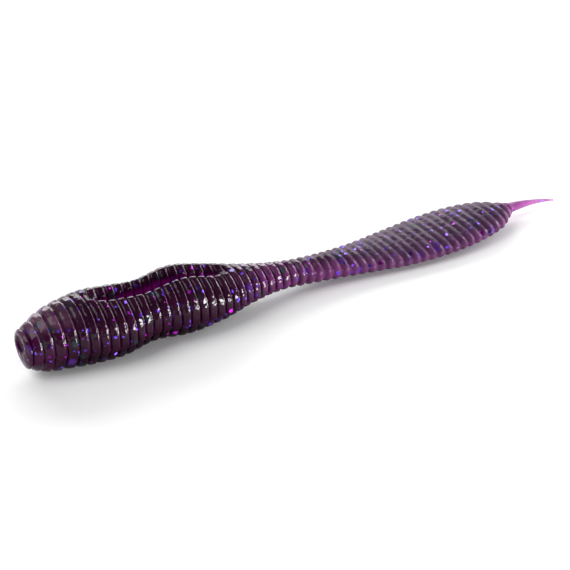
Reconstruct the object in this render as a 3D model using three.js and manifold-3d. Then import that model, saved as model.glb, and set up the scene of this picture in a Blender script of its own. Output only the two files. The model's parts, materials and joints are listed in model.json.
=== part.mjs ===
// Ribbed soft plastic finesse worm, 4 in class, with a hook slot and a flat blade tail.
// Millimetres, +Z up. The nose points to -X and the worm lies on the plane z = 0.
// The one flexible casting is divided in its rib grooves into short rigid lengths, and
// each length hinges on the next about the worm's own centre line.
import * as THREE from 'three';
import Module from 'manifold-3d';
import { mergeVertices } from 'three/addons/utils/BufferGeometryUtils.js';

const wasm = await Module();
wasm.setup();

// ---- Driving dimensions -------------------------------------------------------------
const LENGTH = 101.6; // nose to the point of the tail, 4 in
const RIB_PITCH = 1.55;
const RIB_COUNT = 58;
const NOSE_TO_FIRST_RIB = 2.2;
const NOSE_RIB_SHIFT = 0.65; // how far the first ribs crowd forward over the blunt nose
const CROWDED_RIBS = [2, 5]; // the crowding fades out between these ribs

// A rib's profile: positions in shares of a pitch from its middle, and how deep each is
// in shares of the groove. A rib of the body rises towards a crisp edge on its tail side.
const BODY_RIB = [[-0.43, 1], [-0.27, 0.16], [0.345, 0], [0.385, 1]];
const BLADE_RIB = [[-0.43, 0.95], [-0.2, 0.15], [0.2, 0.15], [0.43, 0.95]];
const FIRST_BLADE_RIB = 31;
const GROOVE_DEPTH_NOSE = 0.4;
const GROOVE_DEPTH_BODY = 0.55;
const GROOVE_DEPTH_BLADE = 0.28;
const GROOVE_DEEPENS = [1, 5]; // ribs between which the grooves go from nose to body depth
const GROOVE_SHALLOWS = [28, 38]; // and from body to blade depth

const RIBS_PER_SEGMENT = 3;
const RIBS_ON_NOSE = 2;
const HINGE_GAP = 0.3; // between two segments at the hinge line
const HINGE_SPARE = 0.4; // degrees left between two faces at the end of the range

const SLOT_FIRST_RIB = 7.4; // the hook slot runs along the top between these ribs
const SLOT_LAST_RIB = 21.9;
const SLOT_RUN_OUT = 1.3; // ribs over which each end of the slot rises to the surface
const SLOT_DEPTH = 1.7;
const SLOT_HALF_WIDTH = 0.8;
const SLOT_MOST_SHARE = 0.2; // the most of the worm's half width that half a slot takes
const SLOT_FLOOR_SHARE = 0.5; // width of the slot's floor, as a share of its lips
const SLOT_GAPE = 0.3; // how much wider the slot is at the neck between the two bulges
const GAPE_OPENS = [8.5, 12.5];
const GAPE_CLOSES = [13.5, 17];

const VALLEY_DEPTH = 1.4; // the back dips along the slot between two lobes
const VALLEY_FROM = 0.5; // across from the middle, where the valley's floor ends
const VALLEY_TO = 2.3; // and where its sides have risen to the lobes
const VALLEY_STARTS = [6.2, 8.6]; // ribs over which the valley deepens
const VALLEY_ENDS = [20, 23.5]; // and over which it rises to the surface again

const LEDGE_ANGLE = 100; // degrees from the top where the mould's two halves meet
const LEDGE_STEP = 0.5; // how far the lower half sits inside the upper half
const LEDGE_STARTS = [0.5, 4]; // ribs over which the ledge grows from nothing
const LEDGE_ENDS = [26, 34]; // and over which it fades out on the waist
const BELLY_FULLNESS = 0.22; // how much squarer the cross-section is under the ledge

const DIMPLE_FLOOR_RADIUS = 0.9; // flat bottom of the dimple that the hook goes in by
const DIMPLE_RIM_RADIUS = 1.62;
const DIMPLE_DEPTH = 0.45;
const NOSE_LOOK_UP = 0.85; // height of the dimple's middle over the worm's centre line
const SHOULDER_RIB = 0.5; // the groove where the rounded nose meets the first rib
// Rounding of the nose: how far back from the rim, and how much of the shoulder's size.
const NOSE_ROUNDING = [[0.2, 0.46], [0.7, 0.93]];

const HEAD_REST_RIB = 7; // the two places where the worm touches what it lies on
const BLADE_REST_RIB = 43;
const REST_FLAT = 0.15; // how far the soft ribs flatten there
const SAG_FIRST_RIB = 13; // the waist hangs down from the level body to the level blade
const SAG_LAST_RIB = 45;
const END_LIFT = 0.7; // how far the blade's end rises off what the worm lies on
const END_LIFT_RIB = 60; // where it has risen all the way
const TIP_END_Z = 0.8; // height of the tip's point

const NOSE_X = -LENGTH / 2;
const TIP_X = LENGTH / 2;

// Over the ribs: the half width w, the height above and depth below the centre line, and
// the squareness of the cross-section: 1 is an ellipse, and less fills out its corners.
const STATIONS = [
  { rib: 0.4, w: 3.05, top: 2.8, belly: 3.45, square: 1.0 }, // shoulder of the nose
  { rib: 2, w: 3.95, top: 4.55, belly: 4.85, square: 1.0 },
  { rib: 4, w: 4.8, top: 5.7, belly: 5.45, square: 0.97 },
  { rib: 7, w: 5.95, top: 5.8, belly: 5.6, square: 0.94 }, // first bulge
  { rib: 10, w: 6.1, top: 5.1, belly: 5.52, square: 0.94 },
  { rib: 13, w: 5.15, top: 4.75, belly: 5.15, square: 0.95 }, // neck between the bulges
  { rib: 17, w: 6.0, top: 5.45, belly: 5.37, square: 0.95 }, // second bulge
  { rib: 21, w: 5.6, top: 4.2, belly: 4.52, square: 0.96 },
  { rib: 25, w: 3.75, top: 3.15, belly: 3.4, square: 0.98 },
  { rib: 29, w: 2.55, top: 2.45, belly: 2.55, square: 0.98 }, // waist
  { rib: 33, w: 2.8, top: 2.1, belly: 2.1, square: 0.93 },
  { rib: 38, w: 3.95, top: 1.72, belly: 1.72, square: 0.87 },
  { rib: 44, w: 5.6, top: 1.52, belly: 1.52, square: 0.82 },
  { rib: 49, w: 6.15, top: 1.5, belly: 1.5, square: 0.82 }, // widest part of the blade
  { rib: 53, w: 5.7, top: 1.48, belly: 1.48, square: 0.84 },
  { rib: 56, w: 4.4, top: 1.4, belly: 1.4, square: 0.9 },
  { rib: 57.6, w: 2.75, top: 1.15, belly: 1.15, square: 0.95 },
  { rib: 58.8, w: 1.1, top: 0.8, belly: 0.8, square: 1.0 }, // root of the tip
];
const TIP_RADIUS = 0.16;
const TIP_STEPS = 5;
const TIP_TAPER = 1.25; // over 1, the tip narrows quickly at its root
const TIP_DROOP = 2.2; // over 1, the tip stays level and droops near its point

// Cross-section: degrees from the top. The flank is flat from 59 to 80 and from there
// down to the ledge.
const SIDE_ANGLES = [22, 38, 59, 80, LEDGE_ANGLE, LEDGE_ANGLE + 1, 122, 143, 159, 171];

const BLOCK_REACH = 12; // more than the worm's half width and height
const MERGE_DISTANCE = 1e-5;
const ROUGHNESS = 0.22;

// How far each hinge bends either way, in degrees, by region and by direction.
// "side" turns about Z and "lift" turns about Y.
const REGIONS = [
  { name: 'nose', until: 0, side: 16, lift: 16 },
  { name: 'body_segment', until: 7, side: 16, lift: 16 },
  { name: 'waist_segment', until: 10, side: 24, lift: 24 },
  { name: 'tail_segment', until: 18, side: 8, lift: 26 },
  { name: 'tail_tip', until: 19, side: 8, lift: 30 },
];
const SIDE_HINGES = [1, 3, 5, 7, 9, 11, 14, 17];

const PLUM = new THREE.Color(0x3a1138);
const NOSE_PLUM = new THREE.Color(0x5a1a52);
const BLADE_PLUM = new THREE.Color(0x5c3a62);
const TIP_ORCHID = new THREE.Color(0xc45cb8);

// ---- Profile along the worm ---------------------------------------------------------
function smoothStep(edge0, edge1, value) {
  const t = Math.min(Math.max((value - edge0) / (edge1 - edge0), 0), 1);
  return t * t * (3 - 2 * t);
}

function ribX(rib) {
  const crowd = NOSE_RIB_SHIFT * (1 - smoothStep(...CROWDED_RIBS, rib));
  return NOSE_X + NOSE_TO_FIRST_RIB + (rib - 1) * RIB_PITCH - crowd;
}

// Slope of one value at a station, from its two neighbours.
function slopeAt(index, key) {
  const before = STATIONS[Math.max(index - 1, 0)];
  const after = STATIONS[Math.min(index + 1, STATIONS.length - 1)];
  return (after[key] - before[key]) / (after.rib - before.rib);
}

// Smooth curve through the stations' values.
function along(rib, key) {
  const last = STATIONS.length - 1;
  if (rib <= STATIONS[0].rib) return STATIONS[0][key];
  if (rib >= STATIONS[last].rib) return STATIONS[last][key];
  const i = STATIONS.findIndex((station) => station.rib > rib) - 1;
  const a = STATIONS[i];
  const b = STATIONS[i + 1];
  const span = b.rib - a.rib;
  const t = (rib - a.rib) / span;
  const bulgeA = (1 - t) * (1 - t) * t * span * slopeAt(i, key);
  const bulgeB = (1 - t) * t * t * span * slopeAt(i + 1, key);
  const blend = t * t * (3 - 2 * t);
  return a[key] * (1 - blend) + b[key] * blend + bulgeA - bulgeB;
}

// The centre line is level along the body, sags through the waist and is nearly level
// again along the thin blade, whose end rises a little.
const HEAD_AXIS_Z = along(HEAD_REST_RIB, 'belly') - LEDGE_STEP - REST_FLAT;
const BLADE_AXIS_Z = along(BLADE_REST_RIB, 'belly') - REST_FLAT;

function axisZ(rib) {
  const sagged = smoothStep(SAG_FIRST_RIB, SAG_LAST_RIB, rib);
  const lift = END_LIFT * smoothStep(BLADE_REST_RIB, END_LIFT_RIB, rib);
  return HEAD_AXIS_Z + (BLADE_AXIS_Z - HEAD_AXIS_Z) * sagged + lift;
}

// Share of the slot's full depth at a rib position: 1 along it and 0 beyond its ends.
function slotShare(rib) {
  const opening = smoothStep(SLOT_FIRST_RIB, SLOT_FIRST_RIB + SLOT_RUN_OUT, rib);
  const closing = 1 - smoothStep(SLOT_LAST_RIB - SLOT_RUN_OUT, SLOT_LAST_RIB, rib);
  return opening * closing;
}

function slotHalfWidth(rib) {
  const gape = smoothStep(...GAPE_OPENS, rib) * (1 - smoothStep(...GAPE_CLOSES, rib));
  return SLOT_HALF_WIDTH + SLOT_GAPE * gape;
}

// Depth of the valley along the slot, halfway between the two lobes.
function valleyDepth(rib) {
  const open = smoothStep(...VALLEY_STARTS, rib) * (1 - smoothStep(...VALLEY_ENDS, rib));
  return VALLEY_DEPTH * open;
}

// The ledge where the mould's halves meet fades out at the nose and on the waist.
function ledgeShare(rib) {
  return smoothStep(...LEDGE_STARTS, rib) * (1 - smoothStep(...LEDGE_ENDS, rib));
}

function grooveDepth(rib) {
  const deepened = smoothStep(...GROOVE_DEEPENS, rib);
  const front = THREE.MathUtils.lerp(GROOVE_DEPTH_NOSE, GROOVE_DEPTH_BODY, deepened);
  return THREE.MathUtils.lerp(front, GROOVE_DEPTH_BLADE, smoothStep(...GROOVE_SHALLOWS, rib));
}

// ---- Cross-section ------------------------------------------------------------------
// One point of the outline, as [across, up] from the axis.
function outlinePoint({ w, top, belly, square, ledge, valley }, degrees) {
  const a = THREE.MathUtils.degToRad(degrees);
  const power = degrees < 90 ? square : square - BELLY_FULLNESS * ledge;
  const across = w * Math.pow(Math.sin(a), power);
  const rise = Math.pow(Math.abs(Math.cos(a)), power);
  if (degrees < 90) {
    const dip = valley * (1 - smoothStep(VALLEY_FROM, VALLEY_TO, across));
    return [across, top * rise - dip];
  }
  const up = -belly * rise;
  const inward = degrees > LEDGE_ANGLE ? 1 - (LEDGE_STEP * ledge) / Math.hypot(across, up) : 1;
  return [across * inward, up * inward];
}

// One side of the outline, from the top to the bottom, round the hook slot's lip.
function halfOutline(section) {
  const lipAcross = Math.min(section.slotHalfWidth, SLOT_MOST_SHARE * section.w);
  const lipAngle = Math.asin(Math.pow(lipAcross / section.w, 1 / section.square));
  const lip = outlinePoint(section, THREE.MathUtils.radToDeg(lipAngle));
  const side = SIDE_ANGLES.map((degrees) => outlinePoint(section, degrees));
  return [[lipAcross * SLOT_FLOOR_SHARE, lip[1] - section.slotDepth], lip, ...side];
}

// A whole ring of points at one position, anticlockwise seen from the tail.
function ring(x, axis, section) {
  const side = halfOutline(section);
  const points = [[0, side[0][1]]];
  for (const [across, up] of side) points.push([-across, up]);
  points.push([0, -(section.belly - LEDGE_STEP * section.ledge)]);
  for (const [across, up] of [...side].reverse()) points.push([across, up]);
  return points.map(([y, z]) => [x, y, Math.max(z + axis, 0)]);
}

// The worm's cross-section at a rib position, as far inside the ribs as the inset.
function sectionAt(rib, inset) {
  return {
    w: along(rib, 'w') - inset,
    top: along(rib, 'top') - inset,
    belly: along(rib, 'belly') - inset,
    square: along(rib, 'square'),
    ledge: ledgeShare(rib),
    valley: valleyDepth(rib),
    slotDepth: slotShare(rib) * SLOT_DEPTH,
    slotHalfWidth: slotHalfWidth(rib),
  };
}

// A plain oval cross-section, for the nose and the tip.
function ovalSection(w, top, belly) {
  const plain = { square: 1, ledge: 0, valley: 0, slotDepth: 0, slotHalfWidth: SLOT_HALF_WIDTH };
  return { w, top, belly, ...plain };
}

// Four rings for each rib: up out of one groove, over the band and down to the next.
function ribRings(first, last) {
  const rings = [];
  for (let rib = first; rib <= last; rib += 1) {
    for (const [offset, groove] of rib < FIRST_BLADE_RIB ? BODY_RIB : BLADE_RIB) {
      const at = rib + offset;
      rings.push(ring(ribX(at), axisZ(at), sectionAt(at, groove * grooveDepth(rib))));
    }
  }
  return rings;
}

// ---- Solids -------------------------------------------------------------------------
// Closed body through a row of rings, with a flat fan over each end.
function loft(rings) {
  const size = rings[0].length;
  const positions = rings.flat(2);
  const index = [];
  for (let i = 0; i < rings.length - 1; i += 1) {
    for (let j = 0; j < size; j += 1) {
      const a = i * size + j;
      const b = i * size + ((j + 1) % size);
      index.push(a, b, a + size);
      index.push(b, b + size, a + size);
    }
  }
  for (const [row, flip] of [[0, true], [rings.length - 1, false]]) {
    const ringPoints = rings[row];
    const centre = positions.length / 3;
    const lowest = ringPoints[size / 2];
    const top = ringPoints[0];
    positions.push(top[0], 0, (top[2] + lowest[2]) / 2);
    for (let j = 0; j < size; j += 1) {
      const a = row * size + j;
      const b = row * size + ((j + 1) % size);
      if (flip) index.push(b, a, centre);
      else index.push(a, b, centre);
    }
  }
  const geometry = new THREE.BufferGeometry();
  geometry.setAttribute('position', new THREE.Float32BufferAttribute(positions, 3));
  geometry.setIndex(index);
  return geometry;
}

function toManifold(geometry) {
  const bare = geometry.clone();
  bare.deleteAttribute('normal');
  bare.deleteAttribute('uv');
  const merged = mergeVertices(bare, MERGE_DISTANCE);
  const mesh = new wasm.Mesh({
    numProp: 3,
    vertProperties: new Float32Array(merged.attributes.position.array),
    triVerts: new Uint32Array(merged.index.array),
  });
  return new wasm.Manifold(mesh);
}

function fromManifold(solid) {
  const mesh = solid.getMesh();
  const geometry = new THREE.BufferGeometry();
  geometry.setAttribute('position', new THREE.BufferAttribute(mesh.vertProperties, 3));
  geometry.setIndex(new THREE.BufferAttribute(mesh.triVerts, 1));
  geometry.computeVertexNormals();
  return geometry;
}

// ---- Hinges -------------------------------------------------------------------------
const regionOf = (segment) => REGIONS.find((region) => segment <= region.until);
const hingeRib = (hinge) => RIBS_ON_NOSE + 0.5 + (hinge - 1) * RIBS_PER_SEGMENT;

function hingeOf(hinge) {
  const rib = hingeRib(hinge);
  const direction = SIDE_HINGES.includes(hinge) ? 'side' : 'lift';
  return { direction, x: ribX(rib), z: axisZ(rib), range: regionOf(hinge)[direction] };
}

// Roof-shaped block whose ridge is the hinge line. Its two slopes lean back by half of
// the hinge's range, so two neighbours meet face to face at the end of the range.
// facing is 1 for the end nearer the tail and -1 for the end nearer the nose.
function hingeBlock(hinge, facing) {
  const { direction, x, z, range } = hingeOf(hinge);
  const lean = Math.tan(THREE.MathUtils.degToRad((range + HINGE_SPARE) / 2));
  const ridge = -HINGE_GAP / 2;
  const shape = new THREE.Shape([
    new THREE.Vector2(ridge, 0),
    new THREE.Vector2(ridge - BLOCK_REACH * lean, BLOCK_REACH),
    new THREE.Vector2(-4 * BLOCK_REACH, BLOCK_REACH),
    new THREE.Vector2(-4 * BLOCK_REACH, -BLOCK_REACH),
    new THREE.Vector2(ridge - BLOCK_REACH * lean, -BLOCK_REACH),
  ]);
  const extrude = { depth: 2 * BLOCK_REACH, bevelEnabled: false };
  const block = new THREE.ExtrudeGeometry(shape, extrude);
  block.translate(0, 0, -BLOCK_REACH);
  if (facing < 0) block.rotateZ(Math.PI);
  if (direction === 'lift') block.rotateX(Math.PI / 2);
  block.translate(x, 0, z);
  return toManifold(block);
}

// ---- Segments -----------------------------------------------------------------------
// Dimple, rim and the rounded slope back to the first groove. The dimple faces a little
// upwards, above the centre line.
function noseRings() {
  const axis = axisZ(SHOULDER_RIB);
  const full = sectionAt(SHOULDER_RIB, 0);
  const rings = [[DIMPLE_DEPTH, DIMPLE_FLOOR_RADIUS], [0, DIMPLE_RIM_RADIUS]].map(
    ([back, r]) => ring(NOSE_X + back, axis + NOSE_LOOK_UP, ovalSection(r, r, r)),
  );
  const room = ribX(SHOULDER_RIB) - NOSE_X;
  for (const [t, share] of NOSE_ROUNDING) {
    const sizes = ['w', 'top', 'belly'].map(
      (key) => THREE.MathUtils.lerp(DIMPLE_RIM_RADIUS, full[key], share),
    );
    const lookUp = NOSE_LOOK_UP * (1 - share);
    rings.push(ring(NOSE_X + room * t, axis + lookUp, ovalSection(...sizes)));
  }
  rings.push(ring(ribX(SHOULDER_RIB), axis, sectionAt(SHOULDER_RIB, GROOVE_DEPTH_NOSE)));
  return [...rings, ...ribRings(1, RIBS_ON_NOSE)];
}

// The tip tapers to a blunt point and droops a little towards what the worm lies on.
function tipRings() {
  const rootRib = STATIONS[STATIONS.length - 1].rib;
  const rootX = ribX(rootRib);
  const rootZ = axisZ(rootRib);
  const root = sectionAt(rootRib, 0);
  const rings = [];
  for (let i = 0; i <= TIP_STEPS; i += 1) {
    const t = i / TIP_STEPS;
    const taper = Math.pow(1 - t, TIP_TAPER);
    const w = THREE.MathUtils.lerp(TIP_RADIUS, root.w, taper);
    const h = THREE.MathUtils.lerp(TIP_RADIUS, root.top, taper);
    const z = THREE.MathUtils.lerp(rootZ, TIP_END_Z, Math.pow(t, TIP_DROOP));
    rings.push(ring(rootX + (TIP_X - rootX) * t, z, ovalSection(w, h, h)));
  }
  return rings;
}

const LAST_SEGMENT = REGIONS[REGIONS.length - 1].until;

function segmentRings(segment) {
  const first = RIBS_ON_NOSE + 1 + (segment - 1) * RIBS_PER_SEGMENT;
  if (segment === 0) return noseRings();
  if (segment === LAST_SEGMENT) return [...ribRings(first, RIB_COUNT), ...tipRings()];
  return ribRings(first, first + RIBS_PER_SEGMENT - 1);
}

function segmentName(segment) {
  const region = regionOf(segment);
  const before = REGIONS[REGIONS.indexOf(region) - 1];
  const firstOfRegion = before ? before.until + 1 : 0;
  const single = region.until === firstOfRegion;
  return single ? region.name : `${region.name}_${segment - firstOfRegion + 1}`;
}

function segmentColour(segment) {
  const name = regionOf(segment).name;
  if (name === 'nose') return NOSE_PLUM;
  if (name === 'tail_segment') return BLADE_PLUM;
  if (name === 'tail_tip') return TIP_ORCHID;
  return PLUM;
}

function makeSegment(segment) {
  let solid = toManifold(loft(segmentRings(segment)));
  if (segment > 0) solid = solid.intersect(hingeBlock(segment, -1));
  if (segment < LAST_SEGMENT) solid = solid.intersect(hingeBlock(segment + 1, 1));
  const material = new THREE.MeshStandardMaterial({
    color: segmentColour(segment), roughness: ROUGHNESS, metalness: 0,
  });
  const mesh = new THREE.Mesh(fromManifold(solid), material);
  mesh.name = segmentName(segment);
  return mesh;
}

const worm = new THREE.Group();
for (let segment = 0; segment <= LAST_SEGMENT; segment += 1) worm.add(makeSegment(segment));

export default worm;
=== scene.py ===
import json
import math

import bpy
import numpy as np
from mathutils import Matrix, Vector, noise

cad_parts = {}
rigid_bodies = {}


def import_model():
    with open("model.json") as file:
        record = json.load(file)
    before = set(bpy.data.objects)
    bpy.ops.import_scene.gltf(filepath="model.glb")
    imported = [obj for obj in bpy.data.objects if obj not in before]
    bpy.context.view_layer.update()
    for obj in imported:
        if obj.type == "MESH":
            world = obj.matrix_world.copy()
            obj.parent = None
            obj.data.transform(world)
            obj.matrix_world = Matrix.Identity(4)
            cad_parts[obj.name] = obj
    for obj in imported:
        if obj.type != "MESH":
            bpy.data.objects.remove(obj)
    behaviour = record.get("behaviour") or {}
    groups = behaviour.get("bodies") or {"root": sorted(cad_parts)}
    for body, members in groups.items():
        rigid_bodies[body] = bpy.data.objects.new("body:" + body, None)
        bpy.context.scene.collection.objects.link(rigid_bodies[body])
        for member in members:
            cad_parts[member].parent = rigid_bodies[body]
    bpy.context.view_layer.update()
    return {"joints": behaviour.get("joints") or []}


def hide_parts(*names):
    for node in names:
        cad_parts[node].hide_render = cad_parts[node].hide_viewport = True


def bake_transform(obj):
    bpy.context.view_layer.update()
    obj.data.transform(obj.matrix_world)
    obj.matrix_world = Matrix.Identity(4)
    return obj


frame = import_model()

MM = 0.001

# ---- Driving dimensions, in millimetres, as in the part's own source -----------------
LENGTH = 101.6
RIB_PITCH = 1.55
RIB_COUNT = 58
NOSE_TO_FIRST_RIB = 2.2
NOSE_RIB_SHIFT = 0.65
GROOVE_DEPTH_NOSE = 0.4
GROOVE_DEPTH_BODY = 0.55
GROOVE_DEPTH_BLADE = 0.28
SLOT_FIRST_RIB = 7.4
SLOT_LAST_RIB = 21.9
SLOT_RUN_OUT = 1.3
SLOT_DEPTH = 1.7
VALLEY_DEPTH = 1.4
VALLEY_FROM = 0.5
VALLEY_TO = 2.3
LEDGE_ANGLE = 100
LEDGE_STEP = 0.5
LEDGE_FLARE = 0.012
BELLY_FULLNESS = 0.22
HEAD_REST_RIB = 7
BLADE_REST_RIB = 43
REST_FLAT = 0.15
SAG_FIRST_RIB = 13
SAG_LAST_RIB = 45
END_LIFT = 0.7
TIP_END_Z = 0.8
TIP_RADIUS = 0.16
NOSE_X = -LENGTH / 2
TIP_X = LENGTH / 2

# Spans of ribs over which one form gives way to the next.
NOSE_CROWD = (2, 5)
TAIL_LIFT = (43, 60)
VALLEY_OPENS = (6.2, 8.6)
VALLEY_CLOSES = (20, 23.5)
NECK_WIDENS = (8.5, 12.5)
NECK_NARROWS = (13.5, 17)
LEDGE_STARTS = (0.5, 4)
LEDGE_ENDS = (26, 34)
NOSE_TO_BODY_GROOVE = (1, 5)
BODY_TO_BLADE_GROOVE = (28, 38)
BODY_TO_BLADE_CREST = (27, 34)

# The valley and the slot at their ends, as a share of the full width and the gain on it.
VALLEY_END_WIDTH = 0.55
VALLEY_GAIN = 0.45
SLOT_END_WIDTH = 0.4
SLOT_GAIN = 0.6
SLOT_HALF_WIDTH = 0.8
SLOT_NECK_EXTRA = 0.3
SLOT_GROOVE_EXTRA = 0.3
SLOT_WALL = (0.75, 1.2)
SLOT_FLOOR_SHARE = 0.92

# Rib number, half width, height above and depth below the centre line, squareness.
STATIONS = np.array([
    (0.4, 3.05, 2.8, 3.45, 1.0),
    (2, 3.95, 4.55, 4.85, 1.0),
    (4, 4.8, 5.7, 5.45, 0.97),
    (7, 5.95, 5.8, 5.6, 0.94),
    (10, 6.1, 5.1, 5.52, 0.94),
    (13, 5.15, 4.75, 5.15, 0.95),
    (17, 6.0, 5.45, 5.37, 0.95),
    (21, 5.6, 4.2, 4.52, 0.96),
    (25, 3.75, 3.15, 3.4, 0.98),
    (29, 2.55, 2.45, 2.55, 0.98),
    (33, 2.8, 2.1, 2.1, 0.93),
    (38, 3.95, 1.72, 1.72, 0.87),
    (44, 5.6, 1.52, 1.52, 0.82),
    (49, 6.15, 1.5, 1.5, 0.82),
    (53, 5.7, 1.48, 1.48, 0.84),
    (56, 4.4, 1.4, 1.4, 0.9),
    (57.6, 2.75, 1.15, 1.15, 0.95),
    (58.8, 1.1, 0.8, 0.8, 1.0),
])
WIDTH, TOP, BELLY, SQUARE = 1, 2, 3, 4


def slope_at(index, column):
    before = STATIONS[max(index - 1, 0)]
    after = STATIONS[min(index + 1, len(STATIONS) - 1)]
    return (after[column] - before[column]) / (after[0] - before[0])


def along(rib, column):
    """Smooth curve through the stations' values."""
    if rib <= STATIONS[0][0]:
        return STATIONS[0][column]
    if rib >= STATIONS[-1][0]:
        return STATIONS[-1][column]
    i = int(np.searchsorted(STATIONS[:, 0], rib, side="right")) - 1
    a, b = STATIONS[i], STATIONS[i + 1]
    span = b[0] - a[0]
    t = (rib - a[0]) / span
    bulge_a = (1 - t) * (1 - t) * t * span * slope_at(i, column)
    bulge_b = (1 - t) * t * t * span * slope_at(i + 1, column)
    share = t * t * (3 - 2 * t)
    return a[column] * (1 - share) + b[column] * share + bulge_a - bulge_b


def smooth(edge0, edge1, value):
    t = np.clip((value - edge0) / (edge1 - edge0), 0, 1)
    return t * t * (3 - 2 * t)


def rib_x(rib):
    """The first ribs crowd forward over the blunt nose."""
    crowd = NOSE_RIB_SHIFT * (1 - smooth(*NOSE_CROWD, rib))
    return NOSE_X + NOSE_TO_FIRST_RIB + (rib - 1) * RIB_PITCH - crowd


HEAD_AXIS_Z = along(HEAD_REST_RIB, BELLY) - LEDGE_STEP - REST_FLAT
BLADE_AXIS_Z = along(BLADE_REST_RIB, BELLY) - REST_FLAT


def axis_z(rib):
    sagged = smooth(SAG_FIRST_RIB, SAG_LAST_RIB, rib)
    lift = END_LIFT * smooth(*TAIL_LIFT, rib)
    return HEAD_AXIS_Z + (BLADE_AXIS_Z - HEAD_AXIS_Z) * sagged + lift


def slot_share(rib):
    opening = smooth(SLOT_FIRST_RIB, SLOT_FIRST_RIB + SLOT_RUN_OUT, rib)
    closing = 1 - smooth(SLOT_LAST_RIB - SLOT_RUN_OUT, SLOT_LAST_RIB, rib)
    return opening * closing


def valley(rib, across):
    """The back dips along the slot, between a lobe on either side."""
    along_slot = smooth(*VALLEY_OPENS, rib) * (1 - smooth(*VALLEY_CLOSES, rib))
    narrow = VALLEY_END_WIDTH + VALLEY_GAIN * along_slot
    side = smooth(VALLEY_FROM * narrow, VALLEY_TO * narrow, across)
    return VALLEY_DEPTH * along_slot * (1 - side)


def slot_half_width(rib):
    """The slot gapes a little wider at the neck between the two bulges."""
    at_neck = smooth(*NECK_WIDENS, rib)
    return SLOT_HALF_WIDTH + SLOT_NECK_EXTRA * at_neck * (1 - smooth(*NECK_NARROWS, rib))


def ledge_share(rib):
    """The mould step along the flanks fades out at the nose and on the waist."""
    return smooth(*LEDGE_STARTS, rib) * (1 - smooth(*LEDGE_ENDS, rib))


def groove_depth(rib):
    deeper = GROOVE_DEPTH_BODY - GROOVE_DEPTH_NOSE
    body = GROOVE_DEPTH_NOSE + deeper * smooth(*NOSE_TO_BODY_GROOVE, rib)
    return body + (GROOVE_DEPTH_BLADE - body) * smooth(*BODY_TO_BLADE_GROOVE, rib)


# ---- One rib's outline along the worm ------------------------------------------------
# Positions in a rib, as shares of the pitch, from one groove's middle towards the next.
RIB_STEPS = [-0.5, -0.43, -0.415, -0.395, -0.365, -0.32, -0.26, -0.15,
             0.0, 0.15, 0.23, 0.28, 0.31, 0.332, 0.348, 0.358, 0.364, 0.42]
FRONT_EDGE = 0.43
REAR_EDGE = 0.365
FRONT_LOW = 0.2
# How each side of a body rib falls to its groove: the inner and the outer power.
FRONT_FALL = (3.4, 0.6)
REAR_FALL = (7, 0.5)
BLADE_CREST_POWER = 0.8
# Steps of a rib between which a painted highlight along its rear edge starts and fades out
# again.
PAINTED_HIGHLIGHT_STARTS = (0.24, 0.32)
PAINTED_HIGHLIGHT_ENDS = (0.36, 0.4)


def crest(rib, step):
    """Height of the rib at a step, 0 in the groove and 1 on the crest. A rib of the body
    rises towards a crisp edge on its tail side, and a rib of the blade is round."""
    soft = (0.5 + 0.5 * math.cos(math.tau * step)) ** BLADE_CREST_POWER
    share = smooth(*BODY_TO_BLADE_CREST, rib)
    return body_crest(step) + (soft - body_crest(step)) * share


def body_crest(step):
    rise = 1 - FRONT_LOW * (REAR_EDGE - min(step, REAR_EDGE)) / (REAR_EDGE + FRONT_EDGE)
    if step < 0:
        inner, outer = FRONT_FALL
        return rise * (1 - min(abs(step) / FRONT_EDGE, 1) ** inner) ** outer
    inner, outer = REAR_FALL
    return rise * (1 - min(step / REAR_EDGE, 1) ** inner) ** outer


# ---- Cross-section -------------------------------------------------------------------
TOP_SHARES = [0, 0.1, 0.19, 0.25, 0.29, 0.33, 0.37, 0.41,
              0.45, 0.5, 0.56, 0.63, 0.71, 0.79, 0.87]
TOP_REACH = 2.4
TOP_REACH_SHARE = 0.42
SIDE_STEPS = 27
LEDGE_STEPS = [(-3.2, 0), (-1.2, 0), (-0.2, 0.04), (0.4, 0.5), (0.9, 0.94), (2.2, 1)]
BELLY_STEPS = 12
FACETS = [(59, 80), (80, LEDGE_ANGLE)]
FACET_SHARE = 0.85
LEDGE_MARGIN = 6
SMALLEST_RADIUS = 0.01


def superellipse(section, angle):
    w, top, belly, square, belly_square = section
    above = angle < math.pi / 2
    power = np.where(above, square, belly_square)
    across = w * np.sin(angle) ** power
    rise = np.abs(np.cos(angle)) ** power
    return across, np.where(above, top * rise, -belly * rise)


def flare(angle):
    """The facets widen a little towards the ledge."""
    return 1 + LEDGE_FLARE * (angle - FACETS[0][0]) / (LEDGE_ANGLE - FACETS[0][0])


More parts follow.
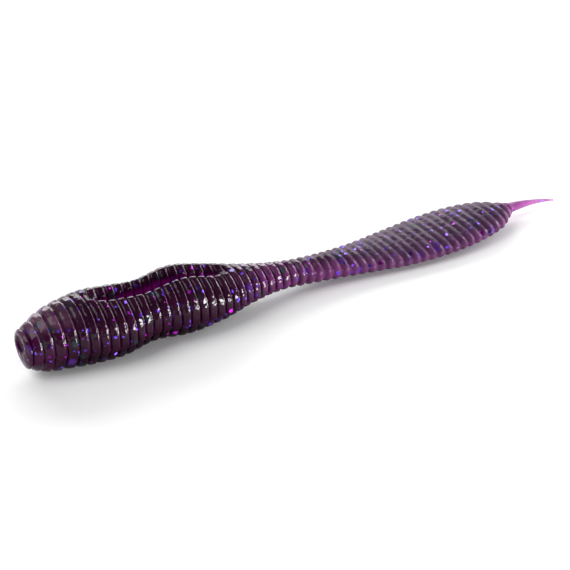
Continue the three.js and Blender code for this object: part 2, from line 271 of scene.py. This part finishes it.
def half_outline(section, rib, height):
    """Half of the outline from the top to the bottom: across, up, slot share."""
    w, top, belly, square, _ = section
    reach = min(TOP_REACH, TOP_REACH_SHARE * w)
    y = np.array(TOP_SHARES) * reach
    sine = (y / w) ** (1 / square)
    z = top * (1 - sine ** 2) ** (square / 2)
    ledge = ledge_share(rib)
    start = math.degrees(math.asin(min((reach / w) ** (1 / square), 1)))
    side = np.linspace(start, LEDGE_ANGLE - LEDGE_MARGIN, SIDE_STEPS)
    corner = np.array([LEDGE_ANGLE + d for d, _ in LEDGE_STEPS])
    under = np.linspace(LEDGE_ANGLE + LEDGE_MARGIN, 180, BELLY_STEPS)
    degrees = np.concatenate([side, corner, under])
    step_in = np.concatenate([np.zeros(SIDE_STEPS), [s for _, s in LEDGE_STEPS],
                              np.ones(BELLY_STEPS)])
    across, up = superellipse(section, np.radians(degrees))
    # two flat facets between the shoulder and the ledge
    flat_across, flat_up = across.copy(), up.copy()
    for upper, lower in FACETS:
        a0, z0 = superellipse(section, np.radians(upper))
        a1, z1 = superellipse(section, np.radians(lower))
        a0 = a0 * flare(upper)
        a1 = a1 * flare(lower)
        t = (degrees - upper) / (lower - upper)
        on = (degrees > upper) & (degrees <= lower)
        flat_across = np.where(on, a0 + (a1 - a0) * t, flat_across)
        flat_up = np.where(on, z0 + (z1 - z0) * t, flat_up)
    share = FACET_SHARE * ledge
    across = across + (flat_across - across) * share
    up = up + (flat_up - up) * share
    radius = np.maximum(np.hypot(across, up), SMALLEST_RADIUS)
    inward = 1 - LEDGE_STEP * ledge * step_in / radius
    across, up = across * inward, up * inward
    y = np.concatenate([y, across])
    z = np.concatenate([z, up])
    z = np.where(z > 0, z - valley(rib, y), z)
    # hook slot
    share = slot_share(rib)
    open_width = slot_half_width(rib) + SLOT_GROOVE_EXTRA * (1 - height)
    wide = open_width * (SLOT_END_WIDTH + SLOT_GAIN * share)
    inside = (1 - smooth(*SLOT_WALL, y / wide)) * (z > 0) * share
    floor_z = along(rib, TOP) - valley(rib, 0) - SLOT_DEPTH * SLOT_FLOOR_SHARE
    z = z + (floor_z - z) * inside
    y[-1] = 0
    return y, z, inside


def section_at(rib, inset):
    square = along(rib, SQUARE)
    full = BELLY_FULLNESS * ledge_share(rib)
    return (along(rib, WIDTH) - inset, along(rib, TOP) - inset,
            along(rib, BELLY) - inset, square, square - full)


HALF_POINTS = len(TOP_SHARES) + SIDE_STEPS + len(LEDGE_STEPS) + BELLY_STEPS
RING_POINTS = 2 * HALF_POINTS - 2


class Ring:
    def __init__(self, x, rib, height, half, axis, edge=0):
        y, z, slot = half
        y = np.concatenate([-y, y[-2:0:-1]])
        z = np.concatenate([z, z[-2:0:-1]]) + axis
        self.slot = np.concatenate([slot, slot[-2:0:-1]])
        self.points = np.stack([np.full(len(y), x), y, np.maximum(z, 0)], 1)
        self.rib = rib
        self.height = height
        self.axis = axis
        # share of the painted highlight along the rib's rear edge
        self.edge = edge


def worm_ring(rib_number, step):
    rib = rib_number + step
    height = crest(rib_number, step)
    inset = groove_depth(rib_number) * (1 - height)
    half = half_outline(section_at(rib, inset), rib, height)
    # share of the painted highlight along the rib's rear edge at this step
    edge = smooth(*PAINTED_HIGHLIGHT_STARTS, step) * (1 - smooth(*PAINTED_HIGHLIGHT_ENDS, step))
    return Ring(rib_x(rib), rib, height, half, axis_z(rib), edge)


# ---- Nose and tip --------------------------------------------------------------------
DIMPLE = [(0.45, 0.3), (0.45, 0.7), (0.44, 0.9), (0.37, 1.05), (0.24, 1.2), (0.1, 1.35),
          (0.02, 1.48)]
NOSE_STEPS = 14
NOSE_RIM = 1.62
NOSE_LOOK_UP = 0.85
FIRST_GROOVE = 0.5
DIMPLE_RIB = -1
DIMPLE_HEIGHT = 0.7
NOSE_FIRST_STEP = 0.35
NOSE_RIM_BACK = 0.02
NOSE_ROUND = (1.9, 0.72)
NOSE_INTO_GROOVE = (0.8, 1.0)


def nose_rings():
    """The blunt front: a shallow dimple, a round rim, and the slope back to the first rib."""
    rings = []
    first = FIRST_GROOVE
    base_axis = axis_z(first)
    for back, radius in DIMPLE:
        half = half_outline((radius, radius, radius, 1.0, 1.0), first, 1)
        rings.append(Ring(NOSE_X + back, DIMPLE_RIB, DIMPLE_HEIGHT, half,
                          base_axis + NOSE_LOOK_UP))
    groove_x = rib_x(first)
    inset = groove_depth(1)
    w, top, belly, _, _ = section_at(first, 0)
    for i in range(NOSE_STEPS):
        t = (i + NOSE_FIRST_STEP) / NOSE_STEPS
        round_share = (1 - (1 - t) ** NOSE_ROUND[0]) ** NOSE_ROUND[1]
        shape = [NOSE_RIM + (size - NOSE_RIM) * round_share for size in (w, top, belly)]
        ease = inset * smooth(*NOSE_INTO_GROOVE, t)
        shape = [size - ease for size in shape]
        x = NOSE_X + NOSE_RIM_BACK + (groove_x - NOSE_X - NOSE_RIM_BACK) * t
        half = half_outline((*shape, 1.0, 1.0), first, 1)
        height = 1 - smooth(*NOSE_INTO_GROOVE, t)
        axis = base_axis + NOSE_LOOK_UP * (1 - round_share)
        rings.append(Ring(x, t - 1, height, half, axis))
    return rings


TIP_STEPS = 26
TIP_TAPER = 1.25
TIP_DROP = 2.2
PAST_THE_RIBS = 60


def tip_rings():
    root_rib = STATIONS[-1][0]
    start = RIB_COUNT + 0.5
    rings = []
    for i in range(TIP_STEPS + 1):
        t = i / TIP_STEPS
        x = rib_x(start) + (TIP_X - rib_x(start)) * t
        rib = start + (x - rib_x(start)) / RIB_PITCH
        if rib < root_rib:
            shape = section_at(rib, 0)
            axis = axis_z(rib)
        else:
            s = (x - rib_x(root_rib)) / (TIP_X - rib_x(root_rib))
            w, top, *_ = section_at(root_rib, 0)
            taper = (1 - s) ** TIP_TAPER
            radius_w = TIP_RADIUS + (w - TIP_RADIUS) * taper
            radius_h = TIP_RADIUS + (top - TIP_RADIUS) * taper
            shape = (radius_w, radius_h, radius_h, 1.0, 1.0)
            axis = axis_z(root_rib) + (TIP_END_Z - axis_z(root_rib)) * s ** TIP_DROP
        half = half_outline(shape, PAST_THE_RIBS, 1)
        rings.append(Ring(x, rib, 1, half, axis))
    return rings


# ---- Colour of the plastic, with painted highlight, sheen and shade ------------------
def rgb(red, green, blue):
    return np.array([red, green, blue])


CREST_PLUM = rgb(0.0105, 0.0007, 0.0065)
DEEP_MAGENTA = rgb(0.040, 0.0008, 0.026)
# magenta of the slot walls, brightened as painted light
SLOT_MAGENTA_AND_PAINTED_LIGHT = rgb(0.260, 0.002, 0.200)
# painted shade: the floor of the slot darker
SLOT_FLOOR_PAINTED_SHADE = rgb(0.060, 0.0008, 0.046)
# painted sheen: the top of the nose lighter
NOSE_PAINTED_SHEEN = rgb(0.150, 0.070, 0.120)
# painted highlight colour for the rear edges of the ribs
PAINTED_EDGE_HIGHLIGHT = rgb(0.190, 0.120, 0.180)
NOSE_MAGENTA = rgb(0.034, 0.001, 0.022)
WAIST_PLUM = rgb(0.075, 0.014, 0.066)
ROOT_PLUM = rgb(0.048, 0.013, 0.045)
ROOT_EDGE = rgb(0.085, 0.020, 0.076)
BLADE_PLUM = rgb(0.068, 0.032, 0.072)
BLADE_EDGE = rgb(0.078, 0.024, 0.074)
TIP_ORCHID = rgb(0.240, 0.060, 0.215)
TIP_END = rgb(0.290, 0.110, 0.270)

# Spans of ribs over which one colour or gloss gives way to the next.
NOSE_TO_CREST = (-0.5, 4.5)
NOSE_SHEEN_FADES = (1, 6)
BODY_TO_WAIST = (21, 28)
WAIST_TO_ROOT = (26, 32)
ROOT_TO_BLADE = (34, 41)
BLADE_TO_TIP = (57, 60)
TIP_TO_END = (60, 63.5)
BODY_GROOVES_AND_HIGHLIGHTS_FADE = (24, 34)
BLADE_GROOVES_START = (28, 36)
BLADE_GROOVES_END = (57, 59)
SLOT_DULL_STARTS = (5.5, 7.5)
SLOT_DULL_ENDS = (22, 24)
BLADE_DULLS = (26, 36)

# Spans across the section: low is 0 on the centre line and 1 at the bottom, aside is 0 in
# the middle and 1 at the edge, beside is in millimetres and slot is the slot's share.
NOSE_SHEEN_HIGH = (0.6, 1.0)
ROOT_ASIDE = (0.2, 0.9)
BLADE_ASIDE = (0.55, 0.95)
GROOVE_ASIDE = (0.3, 0.9)
PAINTED_HIGHLIGHT_LOW = (-0.5, 0.1)
SHADE_LOW = (0.2, 0.45)
DULL_LOW = (-0.15, 0.3)
DULL_BESIDE = (0.9, 2.2)
SLOT_WALL_LIGHT_SPAN = (0.0, 0.6)
SLOT_FLOOR_SHADE_SPAN = (0.8, 1.0)

NOSE_SHEEN_SHARE = 0.8
BODY_GROOVE_SHARE = 0.8
PAINTED_HIGHLIGHT_SHARE = 0.6
UNDER_SHADE = 0.5
BLADE_GROOVE_SHADE = 0.35
BLADE_GROOVE_EDGE = 0.5
FLANK_DULLING = 0.7
SLOT_DULLING = 0.6
BLADE_DULLING = 0.7
FIRST_FULL_LEDGE = 3
LEAST_HALF_WIDTH = 0.2
LEAST_DEPTH = 0.1


def mix(a, b, share):
    share = np.asarray(share)[..., None]
    return a * (1 - share) + b * share


def ring_gloss(ring):
    """Share of the full gloss: duller low on the flank, by the slot and on the blade."""
    depth = max(ring.axis - ring.points[:, 2].min(), LEAST_DEPTH)
    low = (ring.axis - ring.points[:, 2]) / depth
    ledge = ledge_share(max(ring.rib, FIRST_FULL_LEDGE))
    flank = 1 - FLANK_DULLING * smooth(*DULL_LOW, low) * ledge
    along_slot = smooth(*SLOT_DULL_STARTS, ring.rib) * (1 - smooth(*SLOT_DULL_ENDS, ring.rib))
    beside_slot = (1 - smooth(*DULL_BESIDE, np.abs(ring.points[:, 1]))) * (low < 0)
    slot = 1 - SLOT_DULLING * along_slot * beside_slot
    return flank * slot * (1 - BLADE_DULLING * smooth(*BLADE_DULLS, ring.rib))


# colour of each point, with painted highlight, sheen and shade mixed in
def ring_colour_and_painted_light(ring):
    rib = ring.rib
    y = ring.points[:, 1]
    z = ring.points[:, 2] - ring.axis
    ones = np.ones(len(y))
    aside = np.abs(y) / max(np.abs(y).max(), LEAST_HALF_WIDTH)
    low = -z / max(-z.min(), LEAST_DEPTH)
    body = 1 - smooth(*BODY_GROOVES_AND_HIGHLIGHTS_FADE, rib)
    colour = mix(NOSE_MAGENTA, CREST_PLUM, smooth(*NOSE_TO_CREST, rib) * ones)
    # painted sheen, lighter on the top of the nose
    nose_sheen = NOSE_SHEEN_SHARE * (1 - smooth(*NOSE_SHEEN_FADES, rib)) * smooth(*NOSE_SHEEN_HIGH, -low)
    colour = mix(colour, NOSE_PAINTED_SHEEN, nose_sheen)
    colour = mix(colour, WAIST_PLUM, smooth(*BODY_TO_WAIST, rib) * ones)
    root = mix(ROOT_PLUM, ROOT_EDGE, smooth(*ROOT_ASIDE, aside))
    colour = mix(colour, root, smooth(*WAIST_TO_ROOT, rib) * ones)
    blade = mix(BLADE_PLUM, BLADE_EDGE, smooth(*BLADE_ASIDE, aside))
    colour = mix(colour, blade, smooth(*ROOT_TO_BLADE, rib) * ones)
    colour = mix(colour, TIP_ORCHID, smooth(*BLADE_TO_TIP, rib) * ones)
    colour = mix(colour, TIP_END, smooth(*TIP_TO_END, rib) * ones)
    body_groove = (1 - ring.height) * body * ones
    colour = mix(colour, DEEP_MAGENTA, body_groove * BODY_GROOVE_SHARE)
    # painted highlight along the rear edges of the ribs, on the upper part of the body
    painted_highlight = ring.edge * body * (1 - smooth(*PAINTED_HIGHLIGHT_LOW, low))
    colour = mix(colour, PAINTED_EDGE_HIGHLIGHT, PAINTED_HIGHLIGHT_SHARE * painted_highlight)
    # the slot walls' magenta, brightened as painted light, and painted shade on the slot floor
    colour = mix(colour, SLOT_MAGENTA_AND_PAINTED_LIGHT, smooth(*SLOT_WALL_LIGHT_SPAN, ring.slot))
    colour = mix(colour, SLOT_FLOOR_PAINTED_SHADE, smooth(*SLOT_FLOOR_SHADE_SPAN, ring.slot))
    under = 1 - UNDER_SHADE * smooth(*SHADE_LOW, low) * ledge_share(rib)
    colour = colour * under[:, None]
    blade_groove = ((1 - ring.height) * smooth(*BLADE_GROOVES_START, rib)
                    * (1 - smooth(*BLADE_GROOVES_END, rib)))
    at_edge = 1 - BLADE_GROOVE_EDGE * smooth(*GROOVE_ASIDE, aside)
    return colour * (1 - BLADE_GROOVE_SHADE * blade_groove * at_edge)[:, None]


# ---- Meshes --------------------------------------------------------------------------
WOBBLE_CENTRE_Z = 2.5
SWELL_SCALE = 0.55
SWELL_MM = 0.035
FINE_SCALE = 1.7
FINE_SHIFT = 31
FINE_MM = 0.012


def wobble(points):
    """Small uneven swelling of the soft surface, up to a few hundredths of a millimetre."""
    out = points.copy()
    for i, (x, y, z) in enumerate(points):
        swell = noise.noise(Vector((x * SWELL_SCALE, y * SWELL_SCALE, z * SWELL_SCALE)))
        fine = noise.noise(Vector((x * FINE_SCALE + FINE_SHIFT, y * FINE_SCALE, z * FINE_SCALE)))
        radial = math.hypot(y, z - WOBBLE_CENTRE_Z) or 1
        push = SWELL_MM * swell + FINE_MM * fine
        out[i, 1] += y / radial * push
        out[i, 2] += (z - WOBBLE_CENTRE_Z) / radial * push
    out[:, 2] = np.maximum(out[:, 2], 0)
    return out


def build_skin(name, rings, material):
    """Closed piece through a row of rings, with a fan over each end."""
    points = np.concatenate([ring.points for ring in rings])
    colours = np.concatenate([ring_colour_and_painted_light(ring) for ring in rings])
    gloss = np.concatenate([ring_gloss(ring) for ring in rings] + [[1, 1]])
    points = wobble(points)
    n = RING_POINTS
    faces = []
    for i in range(len(rings) - 1):
        for j in range(n):
            a, b = i * n + j, i * n + (j + 1) % n
            faces.append((a, b, b + n, a + n))
    ends = []
    for row, flip in ((0, True), (len(rings) - 1, False)):
        centre = len(points) + len(ends)
        ring = points[row * n:(row + 1) * n]
        middle = [ring[0, 0], 0, (ring[0, 2] + ring[HALF_POINTS - 1, 2]) / 2]
        ends.append(middle)
        for j in range(n):
            a, b = row * n + j, row * n + (j + 1) % n
            faces.append((b, a, centre) if flip else (a, b, centre))
    points = np.concatenate([points, np.array(ends)])
    colours = np.concatenate([colours, colours[:1], colours[n * (len(rings) - 1):][:1]])
    mesh = bpy.data.meshes.new(name)
    mesh.from_pydata((points * MM).tolist(), [], faces)
    mesh.update()
    mesh.polygons.foreach_set("use_smooth", np.ones(len(faces), bool))
    # the end faces keep their own normals, so the seam between two pieces can't be seen
    loops = np.zeros(len(mesh.edges) * 2, np.int32)
    mesh.edges.foreach_get("vertices", loops)
    edge = loops.reshape(-1, 2)
    last = n * (len(rings) - 1)
    first_ring = (edge < n).all(1)
    last_ring = ((edge >= last) & (edge < last + n)).all(1)
    sharp = mesh.attributes.new("sharp_edge", "BOOLEAN", "EDGE")
    sharp.data.foreach_set("value", first_ring | last_ring)
    # the colour attribute holds painted highlight, sheen and shade as well as the plastic's
    # colour
    tint_and_painted_light = mesh.attributes.new("tint_and_painted_light", "FLOAT_COLOR", "POINT")
    tint_and_painted_light.data.foreach_set("color", np.concatenate(
        [colours, np.ones((len(colours), 1))], 1).astype(np.float32).ravel())
    shine = mesh.attributes.new("gloss", "FLOAT", "POINT")
    shine.data.foreach_set("value", gloss.astype(np.float32))
    rest = mesh.attributes.new("rest_mm", "FLOAT_VECTOR", "POINT")
    rest.data.foreach_set("vector", points.astype(np.float32).ravel())
    piece = bpy.data.objects.new(name, mesh)
    bpy.context.scene.collection.objects.link(piece)
    mesh.materials.append(material)
    return piece


# ---- Materials -----------------------------------------------------------------------
FLAKE_SPACING = 1.32
PATCH_SPACING = 2.9
PATCH_STRENGTH = 0.75
VIOLET = (0.22, 0.08, 1.0, 1)
MAGENTA = (0.50, 0.01, 0.60, 1)
GREEN = (0.008, 0.030, 0.030, 1)
DIM_VIOLET = (0.060, 0.015, 0.160, 1)
# Distances here are shares of the spacing, and scales are features to the millimetre.
FLAKE_SIZE = (0.13, 0.29)
FLAKE_EDGE = 0.04
FLAKE_WARP_MM = 0.45
FLAKE_BRIGHT = (0.15, 1.3)
FLAKE_BRIGHT_POWER = 2.0
FLAKE_METAL = 0.8
FLAKE_TILT = 0.9
MAGENTA_FROM = 0.7
PATCH_EDGE = (0.12, 0.3)
PATCH_WARP_MM = 0.9
DIM_VIOLET_FROM = 0.6
WARP_SCALE = 2.6
CLOUD_SCALE = 0.45
CLOUD_DEPTH = (0.72, 1.3)
SMEAR_SCALE = 1.3
SMEAR_ROUGHNESS = (0.26, 0.42)
NOISE_MIDDLE = (0.3, 0.7)
SURFACE_SCALE = 1.2
SURFACE_SOFTNESS = 0.35
SURFACE_HEIGHT = 0.00016
PLASTIC = {"IOR": 1.4, "Specular IOR Level": 0.03, "Coat Roughness": 0.06, "Coat IOR": 1.3,
           "Subsurface Weight": 0.25, "Subsurface Radius": (1.0, 0.2, 0.8),
           "Subsurface Scale": 0.0009}


def plastic(name):
    material = bpy.data.materials.new(name)
    material.use_nodes = True
    tree = material.node_tree
    nodes, links = tree.nodes, tree.links
    nodes.clear()

    def add(kind, **values):
        node = nodes.new(kind)
        for key, value in values.items():
            setattr(node, key, value)
        return node

    def math_node(operation, a, b):
        node = add("ShaderNodeMath", operation=operation)
        for i, value in enumerate((a, b)):
            if isinstance(value, (int, float)):
                node.inputs[i].default_value = value
            else:
                links.new(value, node.inputs[i])
        return node.outputs[0]

    def remap(value, low, high, to_low=0.0, to_high=1.0):
        node = add("ShaderNodeMapRange")
        links.new(value, node.inputs["Value"])
        node.inputs["From Min"].default_value = low
        node.inputs["From Max"].default_value = high
        node.inputs["To Min"].default_value = to_low
        node.inputs["To Max"].default_value = to_high
        return node.outputs["Result"]

    def mix_colour(factor, a, b, blend="MIX"):
        node = add("ShaderNodeMix", data_type="RGBA", blend_type=blend)
        for key, value in (("Factor", factor), ("A", a), ("B", b)):
            target = [s for s in node.inputs if s.name == key and s.enabled][0]
            if isinstance(value, (int, float)):
                target.default_value = value
            else:
                links.new(value, target)
        return [s for s in node.outputs if s.enabled][0]

    output = add("ShaderNodeOutputMaterial")
    shader = add("ShaderNodeBsdfPrincipled")
    links.new(shader.outputs["BSDF"], output.inputs["Surface"])
    tint_and_painted_light = add("ShaderNodeAttribute", attribute_name="tint_and_painted_light")
    rest = add("ShaderNodeAttribute", attribute_name="rest_mm")
    where = rest.outputs["Vector"]

    def noise_node(scale, detail, roughness=0.5):
        node = add("ShaderNodeTexNoise")
        links.new(where, node.inputs["Vector"])
        node.inputs["Scale"].default_value = scale
        node.inputs["Detail"].default_value = detail
        node.inputs["Roughness"].default_value = roughness
        return node

    def cells_node(spacing, warp_mm):
        """Scattered cells with uneven edges, one possible flake in the middle of each."""
        warp = noise_node(WARP_SCALE, 1.0)
        shifted = add("ShaderNodeVectorMath", operation="MULTIPLY_ADD")
        links.new(warp.outputs["Color"], shifted.inputs[0])
        shifted.inputs[1].default_value = (warp_mm, warp_mm, warp_mm)
        links.new(where, shifted.inputs[2])
        node = add("ShaderNodeTexVoronoi", feature="F1", distance="EUCLIDEAN")
        links.new(shifted.outputs["Vector"], node.inputs["Vector"])
        node.inputs["Scale"].default_value = 1 / spacing
        node.inputs["Randomness"].default_value = 1.0
        return node

    # cloudy depth of the plastic
    cloud = noise_node(CLOUD_SCALE, 3.0)
    depth = remap(cloud.outputs["Fac"], *NOISE_MIDDLE, *CLOUD_DEPTH)
    base = mix_colour(1.0, tint_and_painted_light.outputs["Color"], depth, "MULTIPLY")

    # dim patches: flakes that lie deep inside
    patches = cells_node(PATCH_SPACING, PATCH_WARP_MM)
    patch_split = add("ShaderNodeSeparateColor")
    links.new(patches.outputs["Color"], patch_split.inputs["Color"])
    patch_near = remap(patches.outputs["Distance"], *PATCH_EDGE, PATCH_STRENGTH, 0.0)
    patch_kinds = add("ShaderNodeValToRGB")
    patch_kinds.color_ramp.interpolation = "CONSTANT"
    patch_kinds.color_ramp.elements[0].color = GREEN
    patch_kinds.color_ramp.elements[1].position = DIM_VIOLET_FROM
    patch_kinds.color_ramp.elements[1].color = DIM_VIOLET
    links.new(patch_split.outputs["Red"], patch_kinds.inputs["Fac"])
    base = mix_colour(patch_near, base, patch_kinds.outputs["Color"])

    # glitter flakes just under the surface
    cells = cells_node(FLAKE_SPACING, FLAKE_WARP_MM)
    split = add("ShaderNodeSeparateColor")
    links.new(cells.outputs["Color"], split.inputs["Color"])
    size = remap(split.outputs["Blue"], 0.0, 1.0, *FLAKE_SIZE)
    edge = math_node("SUBTRACT", size, cells.outputs["Distance"])
    near = remap(edge, 0.0, FLAKE_EDGE)
    kinds = add("ShaderNodeValToRGB")
    ramp = kinds.color_ramp
    ramp.interpolation = "CONSTANT"
    ramp.elements[0].color = VIOLET
    ramp.elements[1].position = MAGENTA_FROM
    ramp.elements[1].color = MAGENTA
    links.new(split.outputs["Red"], kinds.inputs["Fac"])
    rare = math_node("POWER", split.outputs["Green"], FLAKE_BRIGHT_POWER)
    bright = remap(rare, 0.0, 1.0, *FLAKE_BRIGHT)
    flake = mix_colour(1.0, kinds.outputs["Color"], bright, "MULTIPLY")
    colour = mix_colour(near, base, flake)
    links.new(colour, shader.inputs["Base Color"])
    links.new(math_node("MULTIPLY", near, FLAKE_METAL), shader.inputs["Metallic"])

    # uneven gloss
    smear = noise_node(SMEAR_SCALE, 3.0)
    rough = remap(smear.outputs["Fac"], *NOISE_MIDDLE, *SMEAR_ROUGHNESS)
    links.new(rough, shader.inputs["Roughness"])

    # fine unevenness of the surface, and flakes tilted each its own way
    fine = noise_node(SURFACE_SCALE, 1.0, SURFACE_SOFTNESS)
    bump = add("ShaderNodeBump")
    bump.inputs["Strength"].default_value = 1.0
    bump.inputs["Distance"].default_value = SURFACE_HEIGHT
    links.new(fine.outputs["Fac"], bump.inputs["Height"])
    tilt = add("ShaderNodeVectorMath", operation="SUBTRACT")
    links.new(cells.outputs["Color"], tilt.inputs[0])
    tilt.inputs[1].default_value = (0.5, 0.5, 0.5)
    sized = add("ShaderNodeVectorMath", operation="SCALE")
    links.new(tilt.outputs["Vector"], sized.inputs[0])
    links.new(math_node("MULTIPLY", near, FLAKE_TILT), sized.inputs["Scale"])
    tipped = add("ShaderNodeVectorMath", operation="ADD")
    links.new(bump.outputs["Normal"], tipped.inputs[0])
    links.new(sized.outputs["Vector"], tipped.inputs[1])
    unit = add("ShaderNodeVectorMath", operation="NORMALIZE")
    links.new(tipped.outputs["Vector"], unit.inputs[0])
    links.new(unit.outputs["Vector"], shader.inputs["Normal"])
    links.new(bump.outputs["Normal"], shader.inputs["Coat Normal"])

    gloss = add("ShaderNodeAttribute", attribute_name="gloss")
    links.new(gloss.outputs["Fac"], shader.inputs["Coat Weight"])
    for name_of_input, value in PLASTIC.items():
        shader.inputs[name_of_input].default_value = value
    return material


# ---- Pieces --------------------------------------------------------------------------
joints = frame["joints"]
bodies = [joints[0]["parent"]] + [joint["child"] for joint in joints]
RIBS_ON_NOSE = 2
RIBS_PER_SEGMENT = 3
SLOT_OF_BODY = {"nose": "nose_plastic", "body_segment": "body_plastic",
                "waist_segment": "waist_plastic", "tail_segment": "blade_plastic",
                "tail_tip": "tip_plastic"}
materials = {name: plastic(name) for name in SLOT_OF_BODY.values()}


def region(body):
    return body.rstrip("0123456789").rstrip("_")


for index, joint in enumerate(joints):
    # a piece runs from one rib past the joint before to one rib past this joint
    first_rib = RIBS_ON_NOSE + 2 + (index - 1) * RIBS_PER_SEGMENT
    last_rib = first_rib + RIBS_PER_SEGMENT - 1
    is_first, is_last = index == 0, index == len(joints) - 1
    rings = []
    if is_first:
        rings += nose_rings()
        first_rib = 1
    if is_last:
        last_rib = RIB_COUNT
    for rib in range(first_rib, last_rib + 1):
        rings += [worm_ring(rib, step) for step in RIB_STEPS]
    if is_last:
        rings += tip_rings()
    else:
        rings.append(worm_ring(last_rib + 1, RIB_STEPS[0]))
    body = joint["parent"] if is_first else joint["child"]
    slot_name = SLOT_OF_BODY[region(body)]
    piece = build_skin(f"skin_{index + 1:02d}", rings, materials[slot_name])
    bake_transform(piece)
    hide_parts(joint["parent"])
    if is_last:
        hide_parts(joint["child"])

# ---- Studio --------------------------------------------------------------------------
AZIMUTH, ELEVATION = math.radians(-32.5), math.radians(31.4)
DISTANCE = 0.310
AIM_LEFT = 0.00296
LENS = 120.54
SENSOR = 36
VIEW_CENTRE = Vector((-0.00075, 0, 0))
RIGHT = Vector((math.cos(AZIMUTH), math.sin(AZIMUTH), 0))
BACK = Vector((math.sin(AZIMUTH) * math.cos(ELEVATION),
               -math.cos(AZIMUTH) * math.cos(ELEVATION), math.sin(ELEVATION)))

camera_data = bpy.data.cameras.new("camera")
camera_data.lens = LENS
camera_data.sensor_width = SENSOR
camera_data.clip_start = 0.01
camera = bpy.data.objects.new("camera", camera_data)
bpy.context.scene.collection.objects.link(camera)
camera.location = VIEW_CENTRE + BACK * DISTANCE
aim = VIEW_CENTRE - RIGHT * AIM_LEFT - camera.location
camera.rotation_euler = aim.to_track_quat("-Z", "Y").to_euler()
bpy.context.scene.camera = camera

FLOOR_HALF = 4.0
FLOOR_DROP = 0.00005
FLOOR_GREY = (0.88, 0.88, 0.88, 1)
WORLD_STRENGTH = 0.15

floor_mesh = bpy.data.meshes.new("floor")
floor_mesh.from_pydata([(-FLOOR_HALF, -FLOOR_HALF, 0), (FLOOR_HALF, -FLOOR_HALF, 0),
                        (FLOOR_HALF, FLOOR_HALF, 0), (-FLOOR_HALF, FLOOR_HALF, 0)],
                       [], [(0, 1, 2, 3)])
floor = bpy.data.objects.new("floor", floor_mesh)
bpy.context.scene.collection.objects.link(floor)
floor.location.z = -FLOOR_DROP
floor_material = bpy.data.materials.new("floor")
floor_material.use_nodes = True
floor_shader = floor_material.node_tree.nodes["Principled BSDF"]
floor_shader.inputs["Base Color"].default_value = FLOOR_GREY
floor_shader.inputs["Roughness"].default_value = 0.7
floor_shader.inputs["Specular IOR Level"].default_value = 0.2
floor_mesh.materials.append(floor_material)

world = bpy.data.worlds.new("studio")
bpy.context.scene.world = world
world.use_nodes = True
background = world.node_tree.nodes["Background"]
background.inputs["Color"].default_value = (1, 1, 1, 1)
background.inputs["Strength"].default_value = WORLD_STRENGTH


def softbox(name, direction, distance, width, height, radiance):
    """A rectangular lamp at a direction from the worm, facing it."""
    data = bpy.data.lights.new(name, "AREA")
    data.shape = "RECTANGLE"
    data.size, data.size_y = width, height
    data.energy = radiance * math.pi * width * height
    lamp = bpy.data.objects.new(name, data)
    bpy.context.scene.collection.objects.link(lamp)
    lamp.location = Vector(direction).normalized() * distance
    lamp.rotation_euler = (-lamp.location).to_track_quat("-Z", "Y").to_euler()


# Name, direction from the worm, distance, width, height and radiance.
LAMPS = [
    ("overhead", (-0.85, 0.1, 0.85), 0.9, 0.6, 0.8, 3.7),
    ("back", (0.25, 0.85, 0.42), 0.9, 1.0, 0.5, 6.0),
    ("front_right", (0.459, -0.84, 0.1), 0.7, 0.4, 0.13, 52),
    ("tail_side", (0.92, 0.08, 0.27), 0.8, 0.6, 0.3, 11.0),
]
for lamp_values in LAMPS:
    softbox(*lamp_values)

bpy.context.scene.view_settings.view_transform = "Standard"
